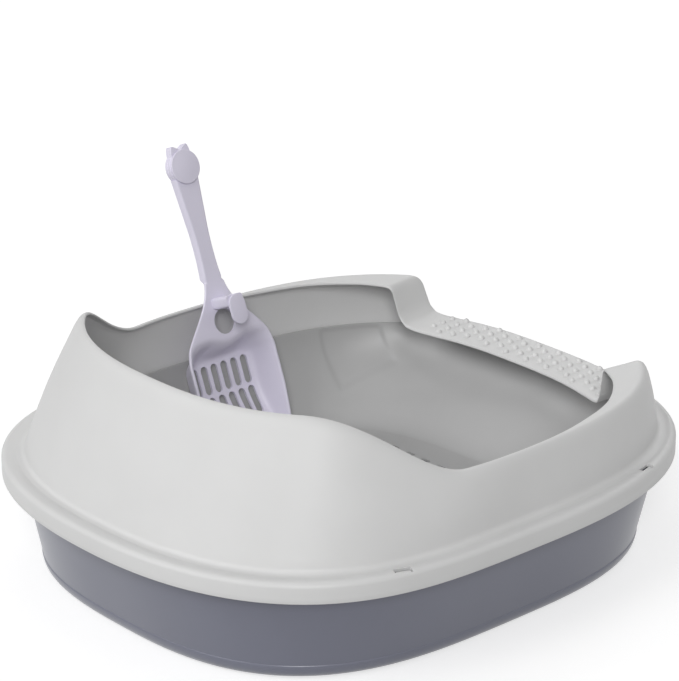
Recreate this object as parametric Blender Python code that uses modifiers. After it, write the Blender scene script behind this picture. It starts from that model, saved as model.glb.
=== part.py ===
# Sifting litter box: a base pan, a sieve pan that nests in it, a rim shield and a scoop.
# Metres, +Z up. The low entry is at -Y, the high back wall at +Y, and the floor is Z = 0.

import math

import bmesh
import bpy
from mathutils import Matrix, Vector


# Whole box
body_length = 0.550
body_width = 0.475
seat_gap = 0.0003
cut_overrun = 0.0040
weld_distance = 0.00005

# Base pan
base_height = 0.0942
base_sheet = 0.0024
base_wall_side = 0.0150
base_wall_front = 0.0125
base_wall_back = 0.0160
base_draft_side = 0.0170
base_draft_front = 0.0240
base_draft_back = 0.0180
base_foot_radius = 0.0090
base_flange_inset = 0.0045
pan_corner = 0.0025

# Snap fingers of the shield, one under each slot, and the notches for them in the base pan's flange
finger_length = 0.0122
finger_width = 0.0045
finger_inset = 0.0070
finger_sink = 0.0008
finger_reach = 0.0038
finger_nose = 0.0008
finger_nose_height = 0.0018
notch_clearance = 0.0010

# Sieve pan
sieve_sheet = 0.0022
nest_clearance = 0.0022
catch_depth = 0.0195
sieve_run_side = 0.0315
sieve_run_front = 0.0855
sieve_run_back = 0.0400
sieve_floor_radius = 0.0110
sieve_flange_inset = 0.0108
hole_length = 0.0100
hole_width = 0.0045
hole_pitch_x = 0.0200
hole_pitch_y = 0.0170
hole_margin = 0.0180

# Rim shield
shield_sheet = 0.0025
skirt_drop = 0.0175
low_rim_rise = 0.0545
high_rim_rise = 0.1085
ledge_rise = 0.0140
rim_inset_side = 0.0300
rim_inset_side_high = 0.0400
rim_inset_front = 0.0710
rim_inset_back = 0.0740
lip_width = 0.0046
crest_inset_front = 0.0240
crest_radius = 0.0016
foot_inset_side = 0.0190
foot_inset_front = 0.0140
foot_inset_back = 0.0205
foot_fillet = 0.0035
wall_bulge = 0.0030
shelf_edge = 0.0040
ledge_half_width = 0.1120
horn_half_width = 0.1400
slope_start_from_back = 0.2210
slope_end_from_back = 0.1110
slot_length = 0.0150
slot_width = 0.0080
slot_inset = 0.0095
slot_from_front = 0.1340
slot_from_back = 0.1415

# Scoop
scoop_sheet = 0.0024
scoop_length = 0.2620
scoop_half_width = 0.0490
pocket_depth = 0.0260
handle_rib = 0.0056
handle_rib_thickness = 0.0022
head_radius = 0.0155
head_thickness = 0.0080
button_rise = 0.0040
ear_height = 0.0065
ear_angle = 23.0
ear_spread = 21.0
grip_hole_length = 0.0230
grip_hole_width = 0.0228
hook_depth = 0.0240
strap_width = 0.0180
strap_thickness = 0.0105
paddle_length = 0.0270
paddle_width = 0.0175
scoop_slot_width = 0.0076
scoop_slot_pitch = 0.0114
scoop_lean = 22.0
scoop_place = -0.0350
scoop_clearance = 0.0024
scoop_toe_drop = 0.0010
grip_share = 0.460
rib_start_share = 0.595
rib_slant_share = 0.020

# Sections of the scoop from its mouth up: height, rim, floor and depth, as shares of the sizes above
scoop_section_shares = (
    (0.000, 0.88, 0.82, 0.03),
    (0.050, 0.92, 0.80, 0.40),
    (0.085, 0.95, 0.79, 0.55),
    (0.145, 0.98, 0.78, 0.82),
    (0.195, 1.00, 0.77, 0.95),
    (0.240, 1.00, 0.76, 1.00),
    (0.310, 1.00, 0.75, 1.00),
    (0.338, 1.00, 0.68, 0.99),
    (0.356, 0.99, 0.58, 0.88),
    (0.390, 0.94, 0.48, 0.38),
    (0.414, 0.86, 0.40, 0.00),
    (0.447, 0.71, 0.34, 0.00),
    (0.487, 0.53, 0.27, 0.00),
    (0.530, 0.36, 0.18, 0.00),
    (0.575, 0.25, 0.12, 0.00),
    (0.640, 0.19, 0.09, 0.00),
    (0.750, 0.18, 0.09, 0.00),
    (0.850, 0.22, 0.11, 0.00),
    (0.985, 0.28, 0.14, 0.00))

# Rows of slots: middle height, length and count
scoop_slot_shares = ((0.274, 0.100, 6), (0.164, 0.100, 6), (0.069, 0.055, 3))

# Plan outlines follow |x/a|^p + |y/b|^q = 1, with powers (p, q) for the front half and for the back half
skirt_powers = ((2.90, 2.56), (2.27, 3.44))
shield_powers = ((2.95, 2.65), (2.35, 3.50))
rim_powers = ((2.70, 2.47), (2.46, 2.43))
wall_powers = ((3.05, 2.75), (2.40, 3.50))
foot_powers = ((2.78, 3.15), (2.75, 3.10))

# Steps of the half outline, finer where the rim's height changes
ledge_steps = 5
horn_steps = 6
corner_steps = 6
side_steps = 4
slope_steps = 6
back_steps = 9
corner_end_share = 0.42
wall_ring_shares = (0.65, 0.30)
sharp_angle = 35.0

# Heights of the stack of pieces
half_length = body_length / 2
half_width = body_width / 2
slope_start = half_length - slope_start_from_back
slope_end = half_length - slope_end_from_back
sieve_flange_bottom = base_height + seat_gap
sieve_flange_top = sieve_flange_bottom + sieve_sheet
shelf_top = sieve_flange_top + seat_gap + shield_sheet
sieve_floor_bottom = base_sheet + catch_depth
sieve_floor_top = sieve_floor_bottom + sieve_sheet
quarter_turn = math.pi / 2
arc_share = 1.0 - math.sqrt(0.5)


def clear_scene():
    for old in list(bpy.data.objects):
        bpy.data.objects.remove(old, do_unlink=True)


def make_collection(name):
    made = bpy.data.collections.new(name)
    bpy.context.scene.collection.children.link(made)
    return made


def make_material(name, colour, roughness):
    material = bpy.data.materials.new(name)
    material.use_nodes = True
    shader = material.node_tree.nodes["Principled BSDF"]
    shader.inputs["Base Color"].default_value = (*colour, 1.0)
    shader.inputs["Roughness"].default_value = roughness
    shader.inputs["Metallic"].default_value = 0.0
    material.diffuse_color = (*colour, 1.0)
    return material


def add_object(name, bm, collection, material=None):
    mesh = bpy.data.meshes.new(name)
    bm.to_mesh(mesh)
    bm.free()
    made = bpy.data.objects.new(name, mesh)
    collection.objects.link(made)
    if material:
        mesh.materials.append(material)
    return made


def add_cutter(name, bm):
    cutter = add_object(name, bm, cutters)
    cutter.hide_render = True
    cutter.display_type = "WIRE"
    return cutter


def boolean(made, other, operation):
    modifier = made.modifiers.new(operation.title(), "BOOLEAN")
    modifier.operation = operation
    modifier.solver = "EXACT"
    modifier.object = other


def shade(made):
    made.data.shade_smooth()
    made.data.set_sharp_from_angle(angle=math.radians(sharp_angle))


# Plan outlines
def blend(first, second, share):
    return first + (second - first) * share


def blend_powers(first, second, share):
    return tuple(tuple(blend(a, b, share) for a, b in zip(one, two)) for one, two in zip(first, second))


def smooth_step(share):
    share = min(max(share, 0.0), 1.0)
    return share * share * (3.0 - 2.0 * share)


# The angle runs from -90 degrees at the front centre, through 0 at the side, to 90 at the back centre
def outline_point(angle, half_x, half_front, half_back, powers):
    power_x, power_y = powers[1] if angle > 0 else powers[0]
    half_y = half_back if angle > 0 else half_front
    x = half_x * max(math.cos(angle), 0.0) ** (2.0 / power_x)
    y = math.copysign(half_y * abs(math.sin(angle)) ** (2.0 / power_y), angle)
    return x, y


def inset_point(angle, side, front, back, height, powers):
    x, y = outline_point(angle, half_width - side, half_length - front, half_length - back, powers)
    return Vector((x, y, height))


def angle_at_x(x):
    return -math.acos((x / (half_width - rim_inset_side)) ** (rim_powers[0][0] / 2.0))


def angle_at_y(y):
    return math.asin((y / (half_length - rim_inset_back)) ** (rim_powers[1][1] / 2.0))


def spread(first, last, steps):
    return [blend(first, last, step / steps) for step in range(steps)]


def station_angles():
    horn_end = angle_at_x(horn_half_width)
    corner_end = horn_end * corner_end_share
    angles = [angle_at_x(x) for x in spread(0.0, ledge_half_width, ledge_steps)]
    angles += [angle_at_x(x) for x in spread(ledge_half_width, horn_half_width, horn_steps)]
    angles += spread(horn_end, corner_end, corner_steps)
    angles += spread(corner_end, angle_at_y(slope_start), side_steps)
    angles += [angle_at_y(y) for y in spread(slope_start, slope_end, slope_steps)]
    angles += spread(angle_at_y(slope_end), quarter_turn, back_steps)
    angles.append(quarter_turn)
    return angles


# A sheet between half rings of points, mirrored across the middle and given its thickness
def add_shell(name, rings, thickness, material, closed_floor):
    bm = bmesh.new()
    rows = [[bm.verts.new(point) for point in ring] for ring in rings]
    for inner, outer in zip(rows, rows[1:]):
        for index in range(len(inner) - 1):
            bm.faces.new((inner[index], inner[index + 1], outer[index + 1], outer[index]))
    if closed_floor:
        bm.faces.new(list(reversed(rows[0])))
    made = add_object(name, bm, part, material)
    mirror = made.modifiers.new("Mirror", "MIRROR")
    mirror.merge_threshold = weld_distance
    solid = made.modifiers.new("Solidify", "SOLIDIFY")
    solid.thickness = thickness
    solid.offset = -1.0
    solid.use_even_offset = True
    shade(made)
    return made


# A flat outline, given in a plane of two directions, pushed along the third
def add_prism(bm, outline, across, up, along, depth, origin):
    start = origin - along * (depth / 2)
    verts = [bm.verts.new(start + across * u + up * v) for u, v in outline]
    face = bm.faces.new(verts)
    pushed = bmesh.ops.extrude_face_region(bm, geom=[face])
    moved = [item for item in pushed["geom"] if isinstance(item, bmesh.types.BMVert)]
    bmesh.ops.translate(bm, vec=along * depth, verts=moved)
    whole = list({face for vert in verts + moved for face in vert.link_faces})
    bmesh.ops.recalc_face_normals(bm, faces=whole)


def rectangle(length, width):
    return [(-length / 2, -width / 2), (length / 2, -width / 2),
            (length / 2, width / 2), (-length / 2, width / 2)]


# A slot outline with round ends, lying along the first direction
def round_slot(length, width, end_steps):
    radius = width / 2
    reach = length / 2 - radius
    points = []
    for side in (1, -1):
        for step in range(end_steps + 1):
            angle = -quarter_turn + math.pi * step / end_steps
            points.append((side * (reach + radius * math.cos(angle)), side * radius * math.sin(angle)))
    return points


# Base pan: a floor with a rounded foot, drafted walls and a level flange
def base_inset(height):
    share = 1.0 - height / base_height
    return (base_wall_side + base_draft_side * share,
            base_wall_front + base_draft_front * share,
            base_wall_back + base_draft_back * share)


def pan_powers(height):
    return blend_powers(foot_powers, wall_powers, height / base_height)


def wall_ring(height, extra, lift=0.0):
    side, front, back = base_inset(height)
    powers = pan_powers(height)
    return [inset_point(angle, side + extra, front + extra, back + extra, height + lift, powers)
            for angle in stations]


def flange_ring(inset, height):
    return [inset_point(angle, inset, inset, inset, height, skirt_powers) for angle in stations]


def build_base_pan():
    under = base_height - base_sheet
    low_arc = base_foot_radius * arc_share
    rings = [wall_ring(0.0, base_foot_radius),
             wall_ring(0.0, low_arc, low_arc),
             wall_ring(base_foot_radius, 0.0),
             wall_ring(under - pan_corner, 0.0),
             wall_ring(under, -pan_corner),
             flange_ring(base_flange_inset, under)]
    pan = add_shell("base_pan", rings, base_sheet, slate, closed_floor=True)
    boolean(pan, build_flange_notches(), "DIFFERENCE")
    return pan


# The middle of a shelf slot, with the directions across and along the outline there
def slot_frame(sign_x, sign_y, inset):
    power_x, power_y = skirt_powers[1] if sign_y > 0 else skirt_powers[0]
    half_x = half_width - inset
    half_y = half_length - inset
    place = half_length - (slot_from_back if sign_y > 0 else slot_from_front)
    share = place / half_y
    x = half_x * (1.0 - share ** power_y) ** (1.0 / power_x)
    normal = Vector((sign_x * (x / half_x) ** (power_x - 1.0) * power_x / half_x,
                     sign_y * share ** (power_y - 1.0) * power_y / half_y, 0.0)).normalized()
    return Vector((sign_x * x, sign_y * place, 0.0)), normal, Vector((-normal.y, normal.x, 0.0))


def slot_frames(inset):
    return [slot_frame(sign_x, sign_y, inset) for sign_x in (-1, 1) for sign_y in (-1, 1)]


# Open notches at the flange's edge, wide enough for the fingers to pass straight up
def build_flange_notches():
    under = base_height - base_sheet / 2
    inner = finger_width / 2 + finger_nose + notch_clearance
    outer = finger_inset
    width = inner + outer
    length = finger_length + 2 * notch_clearance
    depth = base_sheet + 2 * cut_overrun
    bm = bmesh.new()
    for centre, outward, along in slot_frames(finger_inset):
        middle = centre + outward * (outer - inner) / 2 + Vector((0, 0, under))
        add_prism(bm, rectangle(width, length), outward, along, Vector((0, 0, 1)), depth, middle)
    return add_cutter("flange_notches", bm)


# Sieve pan: nests in the base pan, with a perforated floor and a long slope under the entry
def sieve_inset(share):
    return (base_wall_side + base_sheet + nest_clearance + sieve_run_side * share,
            base_wall_front + base_sheet + nest_clearance + sieve_run_front * share,
            base_wall_back + base_sheet + nest_clearance + sieve_run_back * share)


def sieve_ring(height, share, extra=0.0):
    side, front, back = sieve_inset(share)
    powers = pan_powers(min(height, base_height))
    return [inset_point(angle, side + extra, front + extra, back + extra, height, powers)
            for angle in stations]


def build_sieve_pan():
    radius = sieve_floor_radius
    under = sieve_flange_bottom
    wall_drop = under - pan_corner - sieve_floor_bottom
    radius_share = radius / wall_drop
    low_arc = radius * arc_share
    rings = [sieve_ring(sieve_floor_bottom, 1.0, radius * arc_share),
             sieve_ring(sieve_floor_bottom + low_arc, 1.0 - radius_share * arc_share),
             sieve_ring(sieve_floor_bottom + radius, 1.0 - radius_share),
             sieve_ring(under - pan_corner, 0.0),
             sieve_ring(under, 0.0, -pan_corner),
             flange_ring(sieve_flange_inset, under)]
    pan = add_shell("sieve_pan", rings, sieve_sheet, sieve_grey, closed_floor=True)
    boolean(pan, build_sieve_holes(), "DIFFERENCE")
    return pan


def inside_floor(x, y):
    side, front, back = sieve_inset(1.0)
    margin = hole_margin + sieve_floor_radius * arc_share
    power_x, power_y = pan_powers(sieve_floor_bottom)[1 if y > 0 else 0]
    half_x = half_width - side - margin
    half_y = half_length - (back if y > 0 else front) - margin
    return (abs(x) / half_x) ** power_x + (abs(y) / half_y) ** power_y < 1.0


def build_sieve_holes():
    bm = bmesh.new()
    depth = sieve_sheet + 2 * cut_overrun
    middle = sieve_floor_bottom + sieve_sheet / 2
    rows = int(half_length / hole_pitch_y)
    columns = int(half_width / hole_pitch_x)
    for row in range(-rows, rows + 1):
        shift = hole_pitch_x / 2 if row % 2 else 0.0
        for column in range(-columns, columns + 1):
            x = column * hole_pitch_x + shift
            y = row * hole_pitch_y
            if inside_floor(x, y):
                add_prism(bm, rectangle(hole_length, hole_width), Vector((1, 0, 0)), Vector((0, 1, 0)),
                          Vector((0, 0, 1)), depth, Vector((x, y, middle)))
    return add_cutter("sieve_holes", bm)


# Rim shield: rim edge, lip or entry ledge, wall, shelf and skirt
def rim_rise(x, y):
    if y < 0:
        away = smooth_step((x - ledge_half_width) / (horn_half_width - ledge_half_width))
        return blend(ledge_rise, low_rim_rise, away)
    return blend(low_rim_rise, high_rim_rise, slope_share(y))


def slope_share(y):
    return smooth_step((y - slope_start) / (slope_end - slope_start))


def rim_edge(angle):
    low = inset_point(angle, rim_inset_side, rim_inset_front, rim_inset_back, 0.0, rim_powers)
    high_half = half_width - rim_inset_side_high
    low.z = shelf_top + rim_rise(low.x, low.y)
    low.x *= blend(1.0, high_half / (half_width - rim_inset_side), slope_share(low.y))
    return low


def crest(angle, drawn_in, drop):
    edge = rim_edge(angle)
    side = rim_inset_side - lip_width + drawn_in
    front = crest_inset_front + drawn_in
    back = rim_inset_back - lip_width + drawn_in
    powers = (skirt_powers[0], rim_powers[1])
    point = inset_point(angle, side, front, back, edge.z - drop, powers)
    if edge.y > 0:
        reach = half_width - rim_inset_side
        high_reach = half_width - rim_inset_side_high
        full = half_width - side
        point.x *= blend(1.0, (full - reach + high_reach) / full, slope_share(edge.y))
    return point


def foot(angle, drawn_out, height):
    return inset_point(angle, foot_inset_side - drawn_out, foot_inset_front - drawn_out,
                       foot_inset_back - drawn_out, height, shield_powers)


def wall_point(angle, share):
    upper = crest(angle, 0.0, crest_radius)
    lower = foot(angle, 0.0, shelf_top + foot_fillet)
    point = lower.lerp(upper, share)
    outward = Vector((point.x, point.y, 0.0)).normalized()
    full_wall = high_rim_rise - foot_fillet
    bulge = wall_bulge * (upper.z - lower.z) / full_wall
    return point + outward * bulge * math.sin(math.pi * share)


def build_rim_shield():
    arc = foot_fillet * arc_share
    edge_arc = shelf_edge * arc_share
    skirt_bottom = shelf_top - skirt_drop
    rings = [
        [rim_edge(angle) for angle in stations],
        [crest(angle, crest_radius, 0.0) for angle in stations],
        [crest(angle, 0.0, crest_radius) for angle in stations],
        [wall_point(angle, wall_ring_shares[0]) for angle in stations],
        [wall_point(angle, wall_ring_shares[1]) for angle in stations],
        [foot(angle, 0.0, shelf_top + foot_fillet) for angle in stations],
        [foot(angle, arc, shelf_top + arc) for angle in stations],
        [foot(angle, foot_fillet, shelf_top) for angle in stations],
        flange_ring(shelf_edge, shelf_top),
        flange_ring(edge_arc, shelf_top - edge_arc),
        flange_ring(0.0, shelf_top - shelf_edge),
        flange_ring(0.0, skirt_bottom)]
    rings.reverse()
    shield = add_shell("rim_shield", rings, shield_sheet, pale_grey, closed_floor=False)
    boolean(shield, build_shield_slots(), "DIFFERENCE")
    boolean(shield, build_snap_fingers(), "UNION")
    return shield


def build_shield_slots():
    bm = bmesh.new()
    middle = Vector((0, 0, shelf_top - shield_sheet / 2))
    depth = shield_sheet + 2 * cut_overrun
    for centre, outward, along in slot_frames(slot_inset):
        add_prism(bm, rectangle(slot_width, slot_length), outward, along, Vector((0, 0, 1)),
                  depth, centre + middle)
    return add_cutter("shield_slots", bm)


def build_snap_fingers():
    top = shelf_top - finger_sink
    bottom = base_height - base_sheet - finger_reach
    half = finger_width / 2
    outline = [(half, top), (-half, top), (-half, bottom + finger_nose_height),
               (-half - finger_nose, bottom + finger_nose_height), (-half, bottom), (half, bottom)]
    bm = bmesh.new()
    for centre, outward, along in slot_frames(finger_inset):
        add_prism(bm, outline, outward, Vector((0, 0, 1)), along, finger_length, centre)
    return add_cutter("snap_fingers", bm)


# Scoop, upright on its mouth: x across, z along, the open side towards -y
def rim_half_width(height_share):
    for low, high in zip(scoop_section_shares, scoop_section_shares[1:]):
        if height_share <= high[0]:
            share = (height_share - low[0]) / (high[0] - low[0])
            return blend(low[1], high[1], share) * scoop_half_width
    return scoop_section_shares[-1][1] * scoop_half_width


def scoop_section(shares):
    height, rim, floor, depth = shares
    z = height * scoop_length
    rim_x = rim * scoop_half_width
    floor_x = floor * scoop_half_width
    back = depth * pocket_depth
    lip_x = rim_x - min(scoop_sheet, (rim_x - floor_x) / 2)
    return [Vector((0.0, back, z)), Vector((floor_x - scoop_sheet, back, z)),
            Vector((floor_x, back - min(scoop_sheet, back / 3), z)),
            Vector((lip_x, 0.0, z)), Vector((rim_x, 0.0, z))]


def build_scoop():
    scoop = add_shell("scoop", [scoop_section(shares) for shares in scoop_section_shares], scoop_sheet,
                      lilac, closed_floor=False)
    rest = place_scoop()
    scoop.parent = rest
    for added in (build_handle_ribs(), build_head(), build_hanging_hook()):
        added.parent = rest
        boolean(scoop, added, "UNION")
    holes = build_scoop_holes()
    holes.parent = rest
    boolean(scoop, holes, "DIFFERENCE")
    return scoop


# Two ribs under the handle's edges, from a slanted start to the head
def build_handle_ribs():
    bm = bmesh.new()
    rows = []
    steps = 8
    slant_end = rib_start_share + rib_slant_share
    places = [rib_start_share]
    places += [blend(slant_end, scoop_section_shares[-1][0], step / steps) for step in range(steps + 1)]
    for height_share in places:
        z = height_share * scoop_length
        x = rim_half_width(height_share) - handle_rib_thickness / 2 - seat_gap
        depth = scoop_sheet + (handle_rib if height_share > rib_start_share else -seat_gap)
        rows.append((bm.verts.new((x, scoop_sheet / 2, z)), bm.verts.new((x, depth, z))))
    for one, two in zip(rows, rows[1:]):
        bm.faces.new((one[0], two[0], two[1], one[1]))
    ribs = add_cutter("scoop_ribs", bm)
    mirror = ribs.modifiers.new("Mirror", "MIRROR")
    mirror.merge_threshold = weld_distance
    solid = ribs.modifiers.new("Solidify", "SOLIDIFY")
    solid.thickness = handle_rib_thickness
    solid.offset = 0.0
    solid.use_even_offset = True
    return ribs


def head_outline(with_ears):
    ears = (quarter_turn - math.radians(ear_angle), quarter_turn + math.radians(ear_angle))
    half_ear = math.radians(ear_spread)
    steps = 60
    points = []
    for step in range(steps):
        angle = 2 * math.pi * step / steps
        reach = head_radius
        if with_ears:
            reach += ear_height * sum(max(0.0, 1.0 - abs(angle - ear) / half_ear) for ear in ears)
        points.append((reach * math.cos(angle), scoop_length + reach * math.sin(angle)))
    return points


def build_head():
    across, up, along = Vector((1, 0, 0)), Vector((0, 0, 1)), Vector((0, 1, 0))
    bm = bmesh.new()
    add_prism(bm, head_outline(True), across, up, along, head_thickness, Vector((0, head_thickness / 2, 0)))
    head = add_cutter("scoop_head", bm)
    bm = bmesh.new()
    depth = button_rise + head_thickness / 2
    add_prism(bm, head_outline(False), across, up, along, depth, Vector((0, depth / 2 - button_rise, 0)))
    button = add_cutter("scoop_button", bm)
    button.parent = head
    boolean(head, button, "UNION")
    return head


# A strap above the grip hole carries a round-ended paddle, so the scoop hangs on a rim
def build_hanging_hook():
    across, up, along = Vector((1, 0, 0)), Vector((0, 0, 1)), Vector((0, 1, 0))
    top = grip_height() + grip_hole_length / 2 + seat_gap + strap_thickness
    bm = bmesh.new()
    strap_depth = hook_depth + scoop_sheet / 2
    strap = [(-strap_width / 2, top - strap_thickness), (strap_width / 2, top - strap_thickness),
             (strap_width / 2, top), (-strap_width / 2, top)]
    add_prism(bm, strap, across, up, along, strap_depth, Vector((0, scoop_sheet / 2 - strap_depth / 2, 0)))
    hook = add_cutter("scoop_strap", bm)
    bm = bmesh.new()
    middle = top - paddle_length / 2
    add_prism(bm, round_slot(paddle_length, paddle_width, 8), up, across, along, scoop_sheet,
              Vector((0, -hook_depth, middle)))
    paddle = add_cutter("scoop_paddle", bm)
    paddle.parent = hook
    boolean(hook, paddle, "UNION")
    return hook


def grip_height():
    return grip_share * scoop_length


def build_scoop_holes():
    bm = bmesh.new()
    across, up, along = Vector((1, 0, 0)), Vector((0, 0, 1)), Vector((0, 1, 0))
    depth = pocket_depth + scoop_sheet + cut_overrun
    for middle_share, length_share, count in scoop_slot_shares:
        for index in range(count):
            place = (index - (count - 1) / 2) * scoop_slot_pitch
            centre = Vector((place, depth / 2, middle_share * scoop_length))
            add_prism(bm, round_slot(length_share * scoop_length, scoop_slot_width, 4),
                      up, across, along, depth, centre)
    grip = Vector((0, 0, grip_height()))
    add_prism(bm, round_slot(grip_hole_length, grip_hole_width, 6), up, across, along, 2 * cut_overrun, grip)
    return add_cutter("scoop_holes", bm)


# The scoop stands on the sieve floor and leans back on the side rim, its open side across the box
def place_scoop():
    lean = math.radians(scoop_lean)
    rim_x = rim_edge(rim_angle_at(scoop_place)).x
    foot_depth = scoop_section_shares[0][3] * pocket_depth + scoop_sheet
    foot_z = sieve_floor_top + seat_gap + scoop_toe_drop + foot_depth * math.sin(lean)
    handle_back = scoop_sheet + scoop_clearance
    rise = shelf_top + low_rim_rise - foot_z
    foot_x = rim_x - (handle_back + rise * math.sin(lean)) / math.cos(lean)
    rest = bpy.data.objects.new("scoop_rest", None)
    part.objects.link(rest)
    rest.location = (foot_x, scoop_place, foot_z)
    rest.rotation_euler = (Matrix.Rotation(lean, 3, "Y") @ Matrix.Rotation(-quarter_turn, 3, "Z")).to_euler()
    return rest


def rim_angle_at(y):
    half_y = half_length - rim_inset_front
    return -math.asin((abs(y) / half_y) ** (rim_powers[0][1] / 2.0))


clear_scene()
part = make_collection("sifting_litter_box")
cutters = make_collection("cutters")
slate = make_material("slate_pan", (0.25, 0.26, 0.33), 0.38)
sieve_grey = make_material("sieve_grey", (0.42, 0.42, 0.42), 0.45)
pale_grey = make_material("pale_grey", (0.62, 0.62, 0.62), 0.48)
lilac = make_material("scoop_lilac", (0.60, 0.55, 0.64), 0.40)
stations = station_angles()
build_base_pan()
build_sieve_pan()
build_rim_shield()
build_scoop()
bpy.context.view_layer.update()
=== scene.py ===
import math

import bmesh
import bpy
from mathutils import Matrix, Vector


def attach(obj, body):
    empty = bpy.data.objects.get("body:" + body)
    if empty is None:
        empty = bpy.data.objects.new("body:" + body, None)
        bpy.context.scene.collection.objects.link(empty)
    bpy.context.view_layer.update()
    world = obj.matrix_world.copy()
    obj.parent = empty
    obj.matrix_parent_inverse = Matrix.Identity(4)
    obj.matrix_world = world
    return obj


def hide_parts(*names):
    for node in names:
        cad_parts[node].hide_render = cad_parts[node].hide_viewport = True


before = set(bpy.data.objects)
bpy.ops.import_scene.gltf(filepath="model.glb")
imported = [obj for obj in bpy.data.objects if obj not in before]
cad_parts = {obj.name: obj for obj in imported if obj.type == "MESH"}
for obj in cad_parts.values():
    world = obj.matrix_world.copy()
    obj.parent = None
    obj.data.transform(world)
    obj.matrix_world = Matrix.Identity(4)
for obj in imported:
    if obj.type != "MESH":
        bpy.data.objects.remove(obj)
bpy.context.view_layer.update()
print("frame loaded:", ", ".join(sorted(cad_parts)))


# camera, lights and floor
studio = {
    "cameraPlace": (-1.6955, 1.5230, 1.0822),
    "cameraTarget": (0.06534, -0.05585, 0.15213),
    "lens": 156.31,
    "sensor": 36.0,
    "skyStrength": 0.30,
    "suns": {                            # strength, where it comes from, degrees across
        "keySun": (0.74, (0.10, 0.80, 0.62), 30.0),
        "leftSun": (0.48, (0.60, 0.60, 0.50), 30.0),
        "eyeSun": (1.20, (-0.74, 0.67, 0.58), 18.0),
        "topSun": (0.12, (0.0, 0.05, 1.0), 30.0),
        "entrySun": (0.30, (0.45, -0.80, 0.45), 30.0),
    },
    "floorSize": 14.0,
    "floorColor": (0.62, 0.62, 0.62, 1.0),
    "floorLift": 0.57,                  # seen by the camera and in gloss, so the ground reads white
}


def addCamera():
    data = bpy.data.cameras.new("photoCamera")
    data.lens = studio["lens"]
    data.sensor_width = studio["sensor"]
    data.sensor_fit = "HORIZONTAL"
    camera = bpy.data.objects.new("photoCamera", data)
    bpy.context.scene.collection.objects.link(camera)
    camera.location = studio["cameraPlace"]
    sight = Vector(studio["cameraTarget"]) - camera.location
    camera.rotation_euler = sight.to_track_quat("-Z", "Y").to_euler()
    bpy.context.scene.camera = camera


def seenRays(nodes, links):
    # one for what the camera, a gloss or a clear material looks at, and none for light on the object
    path = nodes.new("ShaderNodeLightPath")
    total = path.outputs["Is Camera Ray"]
    for ray in ("Is Glossy Ray", "Is Transmission Ray"):
        both = nodes.new("ShaderNodeMath")
        both.operation = "MAXIMUM"
        links.new(total, both.inputs[0])
        links.new(path.outputs[ray], both.inputs[1])
        total = both.outputs["Value"]
    return total


def addSky():
    world = bpy.data.worlds.new("softSky")
    bpy.context.scene.world = world
    world.use_nodes = True
    nodes, links = world.node_tree.nodes, world.node_tree.links
    nodes.clear()
    out = nodes.new("ShaderNodeOutputWorld")
    mix = nodes.new("ShaderNodeMixShader")
    light = nodes.new("ShaderNodeBackground")
    white = nodes.new("ShaderNodeBackground")
    light.inputs["Color"].default_value = (1.0, 1.0, 1.0, 1.0)
    light.inputs["Strength"].default_value = studio["skyStrength"]
    white.inputs["Color"].default_value = (1.0, 1.0, 1.0, 1.0)
    white.inputs["Strength"].default_value = 1.0
    links.new(seenRays(nodes, links), mix.inputs["Fac"])
    links.new(light.outputs["Background"], mix.inputs[1])
    links.new(white.outputs["Background"], mix.inputs[2])
    links.new(mix.outputs["Shader"], out.inputs["Surface"])


def addSun(name, strength, comesFrom, softness):
    data = bpy.data.lights.new(name, "SUN")
    data.energy = strength
    data.angle = math.radians(softness)
    sun = bpy.data.objects.new(name, data)
    bpy.context.scene.collection.objects.link(sun)
    sun.rotation_euler = Vector(comesFrom).to_track_quat("Z", "Y").to_euler()


def addFloor():
    bm = bmesh.new()
    bmesh.ops.create_grid(bm, x_segments=2, y_segments=2, size=studio["floorSize"] / 2)
    mesh = bpy.data.meshes.new("studioFloor")
    bm.to_mesh(mesh)
    bm.free()
    floor = bpy.data.objects.new("studioFloor", mesh)
    bpy.context.scene.collection.objects.link(floor)
    paper = bpy.data.materials.new("floorPaper")
    paper.use_nodes = True
    nodes, links = paper.node_tree.nodes, paper.node_tree.links
    nodes.clear()
    out = nodes.new("ShaderNodeOutputMaterial")
    matt = nodes.new("ShaderNodeBsdfDiffuse")
    glow = nodes.new("ShaderNodeEmission")
    level = nodes.new("ShaderNodeMath")
    add = nodes.new("ShaderNodeAddShader")
    matt.inputs["Color"].default_value = studio["floorColor"]
    level.operation = "MULTIPLY"
    level.inputs[1].default_value = studio["floorLift"]
    links.new(seenRays(nodes, links), level.inputs[0])
    links.new(level.outputs["Value"], glow.inputs["Strength"])
    links.new(matt.outputs["BSDF"], add.inputs[0])
    links.new(glow.outputs["Emission"], add.inputs[1])
    links.new(add.outputs["Shader"], out.inputs["Surface"])
    mesh.materials.append(paper)


bpy.context.scene.view_settings.view_transform = "Standard"
addCamera()
addSky()
for sunName, sun in studio["suns"].items():
    addSun(sunName, *sun)
addFloor()
print("camera, sky, suns and floor are set")


def addNoise(nodes, links, place, scale, detail):
    noise = nodes.new("ShaderNodeTexNoise")
    noise.inputs["Scale"].default_value = scale
    noise.inputs["Detail"].default_value = detail
    links.new(place.outputs["Object"], noise.inputs["Vector"])
    return noise


def addBump(nodes, links, height, strength, depth):
    bump = nodes.new("ShaderNodeBump")
    bump.inputs["Strength"].default_value = strength
    bump.inputs["Distance"].default_value = depth
    links.new(height.outputs["Fac"], bump.inputs["Height"])
    return bump


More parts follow.
